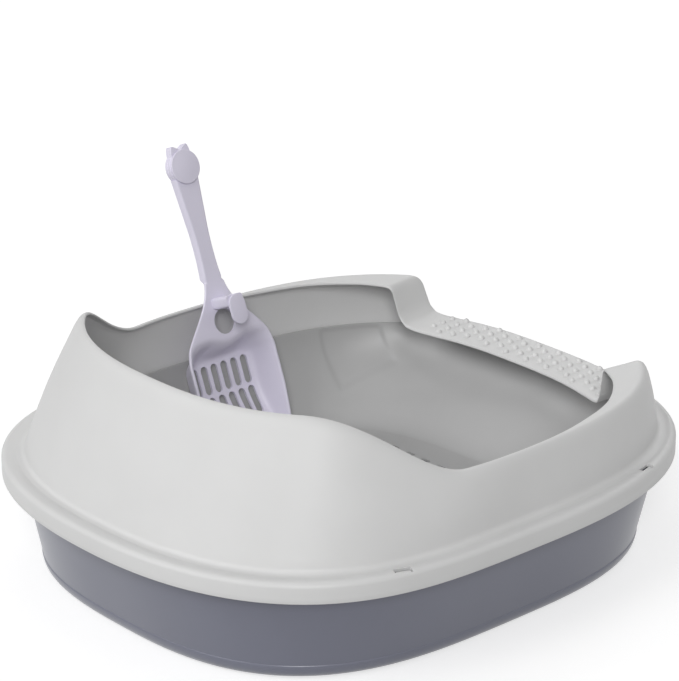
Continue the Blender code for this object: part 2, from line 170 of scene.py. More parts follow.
def mouldedPlastic(name, look):
    material = bpy.data.materials.new(name)
    material.use_nodes = True
    nodes, links = material.node_tree.nodes, material.node_tree.links
    shader = nodes["Principled BSDF"]
    place = nodes.new("ShaderNodeTexCoord")
    cloud = addNoise(nodes, links, place, look["cloudScale"], look["cloudDetail"])
    cloud.inputs["Roughness"].default_value = look["cloudRoughness"]
    tint = nodes.new("ShaderNodeValToRGB")
    shade, full = tint.color_ramp.elements
    shade.position, full.position = look["tintSpan"]
    shade.color = (*look["shade"], 1.0)
    full.color = (*look["color"], 1.0)
    links.new(cloud.outputs["Fac"], tint.inputs["Fac"])
    links.new(tint.outputs["Color"], shader.inputs["Base Color"])
    gloss = nodes.new("ShaderNodeMapRange")
    gloss.inputs["To Min"].default_value = look["roughness"] - look["roughnessDrift"]
    gloss.inputs["To Max"].default_value = look["roughness"] + look["roughnessDrift"]
    links.new(cloud.outputs["Fac"], gloss.inputs["Value"])
    links.new(gloss.outputs["Result"], shader.inputs["Roughness"])
    grain = addNoise(nodes, links, place, look["grainScale"], look["grainDetail"])
    wave = addNoise(nodes, links, place, look["waveScale"], look["waveDetail"])
    fine = addBump(nodes, links, grain, look["grainStrength"], look["grainDepth"])
    broad = addBump(nodes, links, wave, look["waveStrength"], look["waveDepth"])
    links.new(fine.outputs["Normal"], broad.inputs["Normal"])
    links.new(broad.outputs["Normal"], shader.inputs["Normal"])
    shader.inputs["Specular IOR Level"].default_value = look["specular"]
    shader.inputs["Sheen Weight"].default_value = look["sheen"]
    return material


plasticLooks = {
    "shieldPlastic": {"color": (0.690, 0.690, 0.688), "shade": (0.655, 0.655, 0.652), "roughness": 0.46},
    "sievePlastic": {"color": (0.436, 0.436, 0.436), "shade": (0.412, 0.412, 0.412), "roughness": 0.40},
    "basePlastic": {"color": (0.146, 0.153, 0.202), "shade": (0.135, 0.141, 0.188), "roughness": 0.30,
                    "specular": 0.66, "sheen": 0.20},
    "scoopPlastic": {"color": (0.745, 0.715, 0.835), "shade": (0.715, 0.685, 0.805), "roughness": 0.38},
}
sharedLook = {
    "specular": 0.42, "sheen": 0.0,
    # slow drift of colour and gloss over the moulding
    "cloudScale": 9.0, "cloudDetail": 4.0, "cloudRoughness": 0.55,
    "tintSpan": (0.30, 0.70), "roughnessDrift": 0.05,
    # the fine texture of the mould
    "grainScale": 1400.0, "grainDetail": 3.0, "grainStrength": 0.22, "grainDepth": 0.00012,
    # faint sink marks
    "waveScale": 16.0, "waveDetail": 1.0, "waveStrength": 0.10, "waveDepth": 0.0016,
}
plastics = {name: mouldedPlastic(name, {**sharedLook, **look}) for name, look in plasticLooks.items()}
print("plastics mixed:", ", ".join(plastics))


# plan outlines shared by the pans and the shield
box = {
    "length": 0.550, "width": 0.475,
    "skirtPowers": ((2.90, 2.56), (2.27, 3.44)),
    "shieldPowers": ((2.95, 2.65), (2.35, 3.50)),
    "rimPowers": ((2.70, 2.47), (2.46, 2.43)),
    "wallPowers": ((3.05, 2.75), (2.40, 3.50)),
    "footPowers": ((2.78, 3.15), (2.75, 3.10)),
    "stations": 360, "fineSteps": 3000,
}
halfLength = box["length"] / 2
halfWidth = box["width"] / 2


def blend(first, second, share):
    return first + (second - first) * share


def easeIn(share):
    share = min(max(share, 0.0), 1.0)
    return share * share * (3.0 - 2.0 * share)


def traced(table, value):
    # reads a traced curve, smooth between its points and level beyond its ends
    if value <= table[0][0]:
        return table[0][1]
    if value >= table[-1][0]:
        return table[-1][1]
    index = max(place for place in range(len(table) - 1) if table[place][0] <= value)
    (startX, startY), (endX, endY) = table[index], table[index + 1]
    before, after = table[max(index - 1, 0)], table[min(index + 2, len(table) - 1)]
    span = endX - startX
    slopeIn = (endY - before[1]) / (endX - before[0]) * span
    slopeOut = (after[1] - startY) / (after[0] - startX) * span
    share = (value - startX) / span
    rise = share * share * (3.0 - 2.0 * share)
    return (startY * (1.0 - rise) + endY * rise + slopeIn * share * (1.0 - share) ** 2
            - slopeOut * share * share * (1.0 - share))


def outwardOf(point):
    # level and away from the box's middle
    return Vector((point.x, point.y, 0.0)).normalized()


def blendPowers(first, second, share):
    return tuple(tuple(blend(a, b, share) for a, b in zip(one, two)) for one, two in zip(first, second))


def onOutline(turn, side, front, back, height, powers):
    # a rounded rectangle, drawn in from the box by side, front and back
    powerX, powerY = powers[1] if math.sin(turn) > 0 else powers[0]
    reach = halfLength - (back if math.sin(turn) > 0 else front)
    x = (halfWidth - side) * math.copysign(abs(math.cos(turn)) ** (2.0 / powerX), math.cos(turn))
    y = reach * math.copysign(abs(math.sin(turn)) ** (2.0 / powerY), math.sin(turn))
    return Vector((x, y, height))


def evenTurns(path, count, weight):
    # turns at which points along the path stand evenly, closer where the weight is high
    fine = []
    for start in (-math.pi / 2, 0.0):
        for step in range(box["fineSteps"]):
            share = step / box["fineSteps"]
            eased = share ** 3 * (10.0 - 15.0 * share + 6.0 * share ** 2)
            fine.append(eased * math.pi / 2 + start)
    fine.append(math.pi / 2)
    points = [path(turn) for turn in fine]
    lengths = [0.0]
    for one, two in zip(points, points[1:]):
        lengths.append(lengths[-1] + (two - one).length * weight((one + two) / 2))
    half = []
    index = 0
    for step in range(count // 2 + 1):
        goal = lengths[-1] * step / (count // 2)
        while index < len(fine) - 2 and lengths[index + 1] < goal:
            index += 1
        span = lengths[index + 1] - lengths[index]
        share = (goal - lengths[index]) / span if span > 0 else 0.0
        half.append(blend(fine[index], fine[index + 1], min(max(share, 0.0), 1.0)))
    return half + [math.pi - turn for turn in reversed(half[1:-1])]


def startLoop(bm, turns, ring):
    # the first loop is a circle whose points are put on the ring; each keeps its place in the turns
    place = bm.verts.layers.int.new("place")
    made = bmesh.ops.create_circle(bm, cap_ends=False, segments=len(turns), radius=1.0)
    for index, vert in enumerate(made["verts"]):
        vert[place] = index
        vert.co = ring(turns[index])
    return bm.edges[:]


def nextLoop(bm, loop, turns, ring):
    place = bm.verts.layers.int["place"]
    pulled = bmesh.ops.extrude_edge_only(bm, edges=loop)["geom"]
    verts = {item for item in pulled if isinstance(item, bmesh.types.BMVert)}
    for vert in verts:
        vert.co = ring(turns[vert[place]])
    return [item for item in pulled if isinstance(item, bmesh.types.BMEdge) and verts.issuperset(item.verts)]


def sweepRings(turns, rings, closed):
    # pulls a loop through the rings, and joins the last to the first or caps both ends
    bm = bmesh.new()
    first = startLoop(bm, turns, rings[0])
    loop = first
    for ring in rings[1:]:
        loop = nextLoop(bm, loop, turns, ring)
    if closed:
        bmesh.ops.bridge_loops(bm, edges=first + loop)
    else:
        bmesh.ops.contextual_create(bm, geom=first)
        bmesh.ops.contextual_create(bm, geom=loop)
    bmesh.ops.recalc_face_normals(bm, faces=bm.faces[:])
    return bm


def shadeSoft(mesh, sharpAngle):
    mesh.shade_smooth()
    mesh.set_sharp_from_angle(angle=math.radians(sharpAngle))


def makePiece(name, bm, material):
    mesh = bpy.data.meshes.new(name)
    bm.to_mesh(mesh)
    bm.free()
    mesh.materials.append(material)
    piece = bpy.data.objects.new(name, mesh)
    bpy.context.scene.collection.objects.link(piece)
    return piece


def cutAway(piece, bm, sharpAngle):
    # takes the cutters away from the piece and keeps the result in its mesh
    cutterMesh = bpy.data.meshes.new("cutter")
    bm.to_mesh(cutterMesh)
    bm.free()
    cutter = bpy.data.objects.new("cutter", cutterMesh)
    bpy.context.scene.collection.objects.link(cutter)
    trim = piece.modifiers.new("cut", "BOOLEAN")
    trim.operation = "DIFFERENCE"
    trim.solver = "EXACT"
    trim.object = cutter
    bpy.context.view_layer.update()
    cut = bpy.data.meshes.new_from_object(piece.evaluated_get(bpy.context.evaluated_depsgraph_get()))
    piece.modifiers.clear()
    old = piece.data
    cut.name = old.name
    piece.data = cut
    bpy.data.meshes.remove(old)
    bpy.data.objects.remove(cutter)
    shadeSoft(cut, sharpAngle)


def roundBar(bm, across, up, along, middle, width, height, depth, corner):
    # a block whose four edges along its depth are rounded
    made = bmesh.ops.create_cube(bm, size=1.0)["verts"]
    bmesh.ops.scale(bm, vec=(width, height, depth), verts=made)
    upright = [edge for edge in dict.fromkeys(e for v in made for e in v.link_edges)
               if abs(edge.verts[0].co.z - edge.verts[1].co.z) > depth / 2]
    whole = bmesh.ops.bevel(bm, geom=upright, offset=corner, offset_type="OFFSET", affect="EDGES",
                            segments=5, profile=0.5, material=-1, clamp_overlap=True)
    verts = list({v for v in made if v.is_valid} | set(whole["verts"]))
    frameOf = Matrix((across, up, along)).transposed().to_4x4()
    bmesh.ops.transform(bm, matrix=Matrix.Translation(middle) @ frameOf, verts=verts)


def uprightBar(bm, outward, along, centre, height, width, length, depth, corner):
    middle = centre + Vector((0, 0, height))
    roundBar(bm, outward, along, Vector((0, 0, 1)), middle, width, length, depth, corner)


# heights of the stack
stack = {
    "baseHeight": 0.0942, "baseSheet": 0.0024,
    "seatGap": 0.0003,
    "sieveSheet": 0.0022, "catchDepth": 0.0195,
    "shieldSheet": 0.0025,
}
sieveFlangeUnder = stack["baseHeight"] + stack["seatGap"]
sieveFlangeTop = sieveFlangeUnder + stack["sieveSheet"]
shelfTop = sieveFlangeTop + stack["seatGap"] + stack["shieldSheet"]
sieveFloorUnder = stack["baseSheet"] + stack["catchDepth"]
sieveFloorTop = sieveFloorUnder + stack["sieveSheet"]


def quarterTurn(first, steps):
    # the angles of a quarter round, from the given step to the last
    return [math.pi / 2 * step / steps for step in range(first, steps + 1)]


def skirtRing(inset, height):
    return lambda turn: onOutline(turn, inset, inset, inset, height, box["skirtPowers"])


# rim shield
shield = {
    "skirtDrop": 0.0175, "skirtRound": 0.0010, "edgeRadius": 0.0044, "wallExtra": 0.0002, "sharpAngle": 38.0,
    "lowRise": 0.0545, "highRise": 0.1085, "ledgeRise": 0.0140, "ledgeTilt": 0.0020,
    "rimSide": 0.0300, "rimSideHigh": 0.0400, "rimFront": 0.0710, "rimBack": 0.0740,
    "lipWidth": 0.0058, "lipUnder": 0.0012, "crestFront": 0.0240, "crestDip": 0.0016,
    "footSide": 0.0190, "footFront": 0.0140, "footBack": 0.0205, "footFillet": 0.0042,
    "grooveWidth": 0.0046, "grooveDepth": 0.0007, "grooveSoft": 0.0014,
    "innerRound": 0.0006, "innerFoot": 0.0012, "innerEdge": 0.0004,
    "innerFillet": 0.0020, "innerDrop": 0.0022,
    "wallBulge": 0.0030, "wallSteps": 14, "lipSteps": 9,
    "crestRound": 0.0108, "ledgeRound": 0.0046, "edgeRound": 0.0016,
    "slopeStart": 0.0540, "slopeEnd": 0.1640,
    "hornCurve": ((0.0900, 0.0), (0.1095, 0.037), (0.1180, 0.099), (0.1210, 0.173), (0.1245, 0.320),
                  (0.1265, 0.494), (0.1285, 0.691), (0.1305, 0.880), (0.1330, 0.970), (0.1375, 1.0)),
    "crestLead": 0.0022,                # the outer edge starts to climb sooner than the inner one
    "cornerPush": 0.0030,               # the rim stands out a little at its front corners
    "cornerX": (0.132, 0.024), "cornerY": (0.080, 0.050),   # where that starts, and over what length
    "hornFrom": 0.100, "hornTo": 0.142, "hornBehind": 0.100, "hornWeight": 3.6,   # closer points there
}
shieldWallSheet = stack["shieldSheet"] + shield["wallExtra"]


def slopeShare(y):
    return easeIn((y - shield["slopeStart"]) / (shield["slopeEnd"] - shield["slopeStart"]))


def hornShare(x):
    return traced(shield["hornCurve"], abs(x))


def rimRise(x, y):
    if y < 0:
        return blend(shield["ledgeRise"], shield["lowRise"], hornShare(x))
    return blend(shield["lowRise"], shield["highRise"], slopeShare(y))


def rimEdge(turn):
    point = onOutline(turn, shield["rimSide"], shield["rimFront"], shield["rimBack"], 0.0, box["rimPowers"])
    point.z = shelfTop + rimRise(point.x, point.y)
    narrow = (halfWidth - shield["rimSideHigh"]) / (halfWidth - shield["rimSide"])
    point.x *= blend(1.0, narrow, slopeShare(point.y))
    if point.y < 0:
        fromX, spanX = shield["cornerX"]
        fromY, spanY = shield["cornerY"]
        near = easeIn((abs(point.x) - fromX) / spanX) * easeIn(-(point.y + fromY) / spanY)
        point += outwardOf(point) * shield["cornerPush"] * near
    return point


def crestPoint(turn, drop):
    edge = rimEdge(turn)
    side = shield["rimSide"] - shield["lipWidth"]
    back = shield["rimBack"] - shield["lipWidth"]
    powers = (box["skirtPowers"][0], box["rimPowers"][1])
    point = onOutline(turn, side, shield["crestFront"], back, edge.z - drop, powers)
    if edge.y > 0:
        full = halfWidth - side
        narrow = (full - shield["rimSideHigh"] + shield["rimSide"]) / full
        point.x *= blend(1.0, narrow, slopeShare(edge.y))
    else:
        lead = hornShare(abs(edge.x) + shield["crestLead"])
        low = shield["ledgeRise"] + shield["ledgeTilt"]
        point.z = shelfTop + blend(low, shield["lowRise"], lead) - drop
    return point


def footRing(drawnOut, height):
    # the line where the wall stands on the shelf, moved out towards the skirt
    side, front, back = (shield[key] - drawnOut for key in ("footSide", "footFront", "footBack"))
    return lambda turn: onOutline(turn, side, front, back, height, box["shieldPowers"])


def wallPoint(turn, share):
    upper = crestPoint(turn, shield["crestDip"])
    lower = footRing(0.0, shelfTop + shield["footFillet"])(turn)
    point = lower.lerp(upper, share)
    bulge = shield["wallBulge"] * (upper.z - lower.z) / (shield["highRise"] - shield["footFillet"])
    return point + outwardOf(point) * bulge * math.sin(math.pi * share)


def crestSoftness(turn):
    # how far the crest's round reaches, down the wall and in over the lip
    edge = rimEdge(turn)
    if edge.y > 0:
        return shield["crestRound"]
    return blend(shield["ledgeRound"], shield["crestRound"], hornShare(edge.x))


def crestDrop(turn):
    rise = crestPoint(turn, shield["crestDip"]).z - shelfTop - shield["footFillet"]
    return min(crestSoftness(turn), rise * 0.45) / rise


def crestShare(turn, across):
    return min(crestSoftness(turn) / across, 0.72)


def crestRing(share):
    # the soft turn from the wall to the lip
    def ring(turn):
        edge, top = rimEdge(turn), crestPoint(turn, 0.0)
        below = wallPoint(turn, 1.0 - crestDrop(turn))
        inside = top.lerp(edge, crestShare(turn, (edge - top).length))
        first = below.lerp(top, share)
        second = top.lerp(inside, share)
        return first.lerp(second, share)
    return ring


def lipRing(share):
    # across the lip, or across the entry's ledge, to the inner edge
    def ring(turn):
        edge, top = rimEdge(turn), crestPoint(turn, 0.0)
        across = (edge - top).length
        inside = top.lerp(edge, crestShare(turn, across))
        last = top.lerp(edge, 1.0 - min(shield["edgeRound"] / across, 0.3))
        return inside.lerp(last, share)
    return ring


def edgeRing(out, down):
    # the inner edge of the lip, rounded: out and down from the corner as lengths
    def ring(turn):
        edge, top = rimEdge(turn), crestPoint(turn, 0.0)
        outward = Vector((top.x - edge.x, top.y - edge.y, 0.0)).normalized()
        return edge + outward * out - Vector((0.0, 0.0, down))
    return ring


def underLipRing(share):
    # back under the lip to the wall's inner face
    def ring(turn):
        edge = edgeRing(shield["edgeRound"], stack["shieldSheet"])(turn)
        wall = innerWallRing(0.96)(turn)
        wall.z = crestPoint(turn, 0.0).z - stack["shieldSheet"] - shield["lipUnder"]
        return edge.lerp(wall, share)
    return ring


def innerWallRing(share):
    def ring(turn):
        point = wallPoint(turn, share)
        return point - outwardOf(point) * shieldWallSheet
    return ring


def shieldRings():
    bottom, sheet = shelfTop - shield["skirtDrop"], stack["shieldSheet"]
    soft, radius = shield["skirtRound"], shield["edgeRadius"]
    rings = [skirtRing(soft, bottom), skirtRing(soft * 0.3, bottom + soft * 0.3),
             skirtRing(0.0, bottom + soft)]
    rings += [skirtRing(0.0, blend(bottom + soft, shelfTop - radius, share)) for share in (0.33, 0.66)]
    for angle in quarterTurn(0, 6):
        rings.append(skirtRing(radius * (1.0 - math.cos(angle)), shelfTop - radius * (1.0 - math.sin(angle))))
    fillet, width, depth = shield["footFillet"], shield["grooveWidth"], shield["grooveDepth"]
    fade = shield["grooveSoft"]
    groove = ((width + fade, 0.0), (width, 0.5), (width - fade, 1.0), (width * 0.4, 1.0), (0.0, 0.8))
    rings += [footRing(fillet + out, shelfTop - depth * down) for out, down in groove]
    for angle in quarterTurn(1, 6):
        out, lift = fillet * (1.0 - math.sin(angle)), fillet * (1.0 - math.cos(angle))
        rings.append(footRing(out, shelfTop + lift - depth * 0.8 * (1.0 - lift / fillet)))
    steps = shield["wallSteps"]
    for step in range(1, steps):
        rings.append(lambda turn, share=step / steps: wallPoint(turn, wallShare(turn, share)))
    rings += [crestRing(step / 8) for step in range(9)]
    rings += [lipRing(step / shield["lipSteps"]) for step in range(1, shield["lipSteps"] + 1)]
    small = shield["edgeRound"]
    for angle in quarterTurn(1, 2):
        rings.append(edgeRing(small * (1.0 - math.sin(angle)), small * (1.0 - math.cos(angle))))
    rings += [edgeRing(0.0, sheet * 0.75), edgeRing(shield["innerEdge"], sheet)]
    rings += [underLipRing(share) for share in (0.25, 0.5, 0.75, 0.92)]
    rings += [innerWallRing(1.0 - share) for share in (0.08, 0.2, 0.35, 0.5, 0.65, 0.8, 0.92)]
    inner, turnIn, under = shieldWallSheet, shield["innerRound"], shelfTop - sheet
    rings += [footRing(-inner, shelfTop + shield["innerFoot"]), footRing(-inner, under + turnIn),
              footRing(-inner + turnIn, under)]
    edge = shield["innerEdge"]
    rings += [skirtRing(sheet + shield["innerFillet"], under), skirtRing(sheet + edge, under - turnIn),
              skirtRing(sheet, under - shield["innerDrop"]),
              skirtRing(sheet - shield["wallExtra"], bottom + edge)]
    return rings


def wallShare(turn, share):
    # the wall's own rings end where the crest's round begins
    return share * (1.0 - crestDrop(turn))


def rimWeight(point):
    atHorn = point.y < -shield["hornBehind"] and shield["hornFrom"] < abs(point.x) < shield["hornTo"]
    return shield["hornWeight"] if atHorn else 1.0


rimTurns = evenTurns(rimEdge, box["stations"], rimWeight)

# the shield's slots, its snap fingers and the notches that these reach through
slots = {
    "length": 0.0146, "width": 0.0064, "corner": 0.0008, "inset": 0.0053, "depth": 0.0120,
    "frontPlace": halfLength - 0.1325, "backPlace": halfLength - 0.1380,
    "frontTwist": 4.0, "backTwist": 8.0,  # degrees between a slot and the outline beside it
    "fingerLength": 0.0118, "fingerWidth": 0.0034, "fingerInset": 0.0044, "fingerSink": 0.0015,
    "fingerReach": 0.0038, "fingerCorner": 0.0006,
    "notchLength": 0.0142, "notchWidth": 0.0116, "notchInset": 0.0056, "notchDepth": 0.0080,
    "notchCorner": 0.0006,
}


def slotFrames(inset):
    # each slot's middle, and its directions out of and along the skirt
    frames = []
    for signX in (-1, 1):
        for signY in (-1, 1):
            powerX, powerY = box["skirtPowers"][1 if signY > 0 else 0]
            spanX, spanY = halfWidth - inset, halfLength - inset
            place = slots["backPlace"] if signY > 0 else slots["frontPlace"]
            share = place / spanY
            x = spanX * (1.0 - share ** powerY) ** (1.0 / powerX)
            outward = Vector((signX * (x / spanX) ** (powerX - 1.0) * powerX / spanX,
                              signY * share ** (powerY - 1.0) * powerY / spanY, 0.0)).normalized()
            twist = signX * math.radians(slots["backTwist"] if signY > 0 else slots["frontTwist"])
            outward.rotate(Matrix.Rotation(twist, 3, "Z"))
            frames.append((Vector((signX * x, signY * place, 0.0)), outward,
                           Vector((-outward.y, outward.x, 0.0))))
    return frames


# the entry ledge's grip bumps
ledge = {
    "pitchX": 0.0124, "pitchY": 0.0116, "reachX": 0.1060, "shift": 0.0020, "columns": 9, "rows": (14, 26),
    "bumpRadius": 0.0028, "bumpHeight": 0.0032, "bumpSides": 12, "bumpRings": 8, "bumpLift": 0.0001,
    "innerMargin": 0.0058, "outerMargin": 0.0052, "crestSide": 0.0254,
}


def ledgeHeight(x, y):
    # the ledge's surface over a point, between the inner edge and the crest
    reaches = []
    for side, front, (powerX, powerY) in ((shield["rimSide"], shield["rimFront"], box["rimPowers"][0]),
                                          (ledge["crestSide"], shield["crestFront"], box["skirtPowers"][0])):
        across = (1 - (abs(x) / (halfWidth - side)) ** powerX) ** (1 / powerY)
        reaches.append((halfLength - front) * across)
    inner, outer = reaches
    share = (abs(y) - inner) / (outer - inner)
    return shelfTop + shield["ledgeRise"] + shield["ledgeTilt"] * share, inner, outer


def addBumps(bm):
    count = 0
    radius = ledge["bumpRadius"]
    for column in range(-ledge["columns"], ledge["columns"]):
        x = (column + 0.5) * ledge["pitchX"]
        if abs(x) > ledge["reachX"]:
            continue
        offset = ledge["pitchY"] / 2 if column % 2 else 0.0
        for row in range(*ledge["rows"]):
            y = -row * ledge["pitchY"] + offset + ledge["shift"]
            height, inner, outer = ledgeHeight(x, y)
            if not inner + ledge["innerMargin"] < abs(y) < outer - ledge["outerMargin"]:
                continue
            dome = bmesh.ops.create_uvsphere(bm, u_segments=ledge["bumpSides"], v_segments=ledge["bumpRings"],
                                             radius=radius)["verts"]
            bmesh.ops.scale(bm, vec=(1.0, 1.0, ledge["bumpHeight"] / radius), verts=dome)
            bmesh.ops.translate(bm, vec=(x, y, height + ledge["bumpLift"]), verts=dome)
            count += 1
    print("ledge bumps:", count)


def addFingers(bm):
    top = shelfTop - slots["fingerSink"]
    bottom = stack["baseHeight"] - stack["baseSheet"] - slots["fingerReach"]
    for centre, outward, along in slotFrames(slots["fingerInset"]):
        uprightBar(bm, outward, along, centre, (top + bottom) / 2, slots["fingerWidth"],
                   slots["fingerLength"], top - bottom, slots["fingerCorner"])


def buildShield():
    skin = sweepRings(rimTurns, shieldRings(), closed=True)
    piece = makePiece("rimShieldSkin", skin, plastics["shieldPlastic"])
    bm = bmesh.new()
    for centre, outward, along in slotFrames(slots["inset"]):
        uprightBar(bm, outward, along, centre, shelfTop, slots["width"], slots["length"], slots["depth"],
                   slots["corner"])
    cutAway(piece, bm, shield["sharpAngle"])
    bm = bmesh.new()
    bm.from_mesh(piece.data)
    addFingers(bm)
    addBumps(bm)
    bm.to_mesh(piece.data)
    bm.free()
    shadeSoft(piece.data, shield["sharpAngle"])
    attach(piece, "rim_shield")
    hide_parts("rim_shield")
    print("rim shield:", len(piece.data.polygons), "faces")


# base pan
basePan = {
    "side": 0.0150, "front": 0.0125, "back": 0.0160,
    "draftSide": 0.0170, "draftFront": 0.0240, "draftBack": 0.0180,
    "footRadius": 0.0090, "flangeInset": 0.0045, "corner": 0.0025, "edgeRound": 0.0006, "cornerRound": 0.0007,
    "ridgeHeight": 0.0135, "ridgeDepth": 0.0007, "ridgeWidth": 0.0012, "ridgeFoot": 0.0016,
    "mouthRound": 0.0008, "sharpAngle": 38.0,
}


def panPowers(height):
    share = min(max(height / stack["baseHeight"], 0.0), 1.0)
    return blendPowers(box["footPowers"], box["wallPowers"], share)


def baseWall(height, extra, lift=0.0):
    share = 1.0 - height / stack["baseHeight"]
    side = basePan["side"] + basePan["draftSide"] * share + extra
    front = basePan["front"] + basePan["draftFront"] * share + extra
    back = basePan["back"] + basePan["draftBack"] * share + extra
    return lambda turn: onOutline(turn, side, front, back, height + lift, panPowers(height))


def baseRings():
    radius, sheet, corner = basePan["footRadius"], stack["baseSheet"], basePan["corner"]
    under = stack["baseHeight"] - sheet
    rings = [baseWall(radius * (1.0 - math.cos(angle)), radius * (1.0 - math.sin(angle)))
             for angle in quarterTurn(0, 6)]                  # the rounded foot
    ridge, depth, wide = basePan["ridgeHeight"], basePan["ridgeDepth"], basePan["ridgeWidth"]
    rings += [baseWall(ridge - basePan["ridgeFoot"], 0.0), baseWall(ridge - wide / 2, depth * 0.3),
              baseWall(ridge, depth), baseWall(ridge + wide, depth)]
    rings += [baseWall(blend(ridge + wide, under - corner, share), depth * (1 - share))
              for share in (0.12, 0.3, 0.5, 0.7, 0.88, 1.0)]
    small = basePan["cornerRound"]
    rings += [baseWall(under - small, -small), baseWall(under, -corner)]
    inset, edge = basePan["flangeInset"], basePan["edgeRound"]
    rings += [skirtRing(inset + edge, under), skirtRing(inset, under + edge),
              skirtRing(inset, under + sheet - edge), skirtRing(inset + edge, under + sheet)]
    rings += [baseWall(under, -corner + sheet * 0.4, sheet),
              baseWall(under, sheet * 0.75, sheet - basePan["mouthRound"]), baseWall(under - corner, sheet)]
    rings += [baseWall(blend(under - corner, radius, share), sheet) for share in (0.33, 0.66, 1.0)]
    inner = radius - sheet
    rings += [baseWall(sheet + inner * (1.0 - math.sin(angle)), sheet + inner * (1.0 - math.cos(angle)))
              for angle in quarterTurn(1, 5)]
    return rings


def buildBasePan():
    bm = sweepRings(panTurns, baseRings(), closed=False)
    piece = makePiece("basePanSkin", bm, plastics["basePlastic"])
    bm = bmesh.new()
    for centre, outward, along in slotFrames(slots["notchInset"]):
        uprightBar(bm, outward, along, centre, stack["baseHeight"] - stack["baseSheet"] / 2,
                   slots["notchWidth"], slots["notchLength"], slots["notchDepth"], slots["notchCorner"])
    cutAway(piece, bm, basePan["sharpAngle"])
    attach(piece, "base_pan")
    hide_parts("base_pan")
    print("base pan:", len(piece.data.polygons), "faces")


# sieve pan
sievePan = {
    "clearance": 0.0022, "runSide": 0.0315, "runFront": 0.0855, "runBack": 0.0400,
    "floorRadius": 0.0110, "flangeInset": 0.0108, "flangeEdge": 0.0005, "corner": 0.0025,
    "slant": 1.12,                      # a leaning wall is thicker when it is measured level
    "floorTuck": 0.62, "underTuck": 0.45,   # how far the floor's turn reaches in, of its radius
    "holeLength": 0.0100, "holeWidth": 0.0045, "holePitchX": 0.0200, "holePitchY": 0.0170,
    "holeMargin": 0.0180, "holeDepth": 0.0080, "holeReach": 20,
    "lipRise": 0.0056, "lipSheet": 0.0013, "lipInset": 0.0037, "lipFrom": 0.068, "lipFoot": 0.0006,
    "stations": 520, "evenAt": 0.065, "wallSteps": 34, "sharpAngle": 30.0,
    "panelDepth": 0.0013, "panelX": 0.132, "panelY": (-0.200, -0.146), "panelEdge": 0.0045,
    "panelFoot": (0.047, 0.42),         # height of the panel's foot at its outer end, and its climb
    "panelFine": (-0.225, -0.125), "panelFineX": 0.100, "panelWeight": 3.0,   # closer points there
    "creaseDepth": 0.0007, "creaseWidth": 0.0060, "creaseBowl": 2.5,
    "creaseStart": 0.120, "creaseFade": 0.030,
    "creaseHeight": 0.040, "creaseSide": 0.160, "creaseClimb": 0.185,
    "seatDepth": 0.0013, "seatWidth": 0.0090, "seatMiddle": 0.055, "seatHeight": 0.0665, "seatCurl": 0.0110,
    "seatSpan": 0.070, "seatStart": 0.200, "seatFade": 0.012,
}
sieveWallTop = sieveFlangeUnder - sievePan["corner"]
lipHalf = sievePan["lipSheet"] / 2
lipOut = sievePan["lipInset"]
lipTop = sieveFlangeTop + sievePan["lipRise"] - lipHalf     # where the lip's round top begins


def sieveInsets(share, extra):
    common = stack["baseSheet"] + sievePan["clearance"] + extra
    return (basePan["side"] + sievePan["runSide"] * share + common,
            basePan["front"] + sievePan["runFront"] * share + common,
            basePan["back"] + sievePan["runBack"] * share + common)


def sieveWall(height, extra=0.0):
    # the under side of the pan's wall at a height, drawn in by extra
    share = (sieveWallTop - height) / (sieveWallTop - sieveFloorUnder)
    side, front, back = sieveInsets(max(share, 0.0), extra)
    return lambda turn: onOutline(turn, side, front, back, height, panPowers(height))


def panelPress(point):
    # a shallow panel pressed into the wall beside the entry slope, with a slanted foot
    edge = sievePan["panelEdge"]
    low, high = sievePan["panelY"]
    foot = sievePan["panelFoot"][0] + (high - point.y) * sievePan["panelFoot"][1]
    within = (abs(point.x) - sievePan["panelX"], point.y - low, high - point.y,
              point.z - foot, lipTop - point.z)
    return sievePan["panelDepth"] * math.prod(easeIn(distance / edge) for distance in within)


def bell(distance, width):
    return math.exp(-(distance / width) ** 2)


def creasePress(point):
    # the slope's soft lower crease, and the two shallow arcs that meet in front of the entry
    fade = easeIn((-sievePan["creaseStart"] - point.y) / sievePan["creaseFade"])
    line = sievePan["creaseHeight"] + (sievePan["creaseSide"] - abs(point.x)) * sievePan["creaseClimb"]
    below = easeIn(0.5 + (point.z - line) / (2.0 * sievePan["creaseWidth"]))
    bowl = bell(point.z - line, sievePan["creaseWidth"] * sievePan["creaseBowl"])
    bend = ((abs(point.x) - sievePan["seatMiddle"]) / sievePan["seatSpan"]) ** 2
    arc = sievePan["seatHeight"] + sievePan["seatCurl"] * bend
    seat = sievePan["seatDepth"] * bell(point.z - arc, sievePan["seatWidth"])
    seatFade = easeIn((-sievePan["seatStart"] - point.y) / sievePan["seatFade"])
    return fade * (sievePan["creaseDepth"] * below * bowl + seat * seatFade)


def innerInsets(height, extra):
    # the inner face leans as the wall does, and turns upright towards the lip
    span = sieveWallTop - sieveFloorUnder
    leaning = sieveInsets((sieveWallTop - height) / span, extra)
    reached = sieveInsets((sieveWallTop - lipTop) / span, extra)
    upright = sieveInsets(0.0, lipOut + lipHalf * 2)
    turned = max(0.0, (height - sievePan["lipFrom"]) / (lipTop - sievePan["lipFrom"])) ** 2
    return [lean + (goal - last) * turned for lean, last, goal in zip(leaning, reached, upright)]


def sieveInner(height, extra=0.0):
    # the inner face, with its panel and creases
    side, front, back = innerInsets(height, stack["sieveSheet"] * sievePan["slant"] + extra)

    def ring(turn):
        point = onOutline(turn, side, front, back, height, panPowers(height))
        return point + outwardOf(point) * (panelPress(point) + creasePress(point))
    return ring


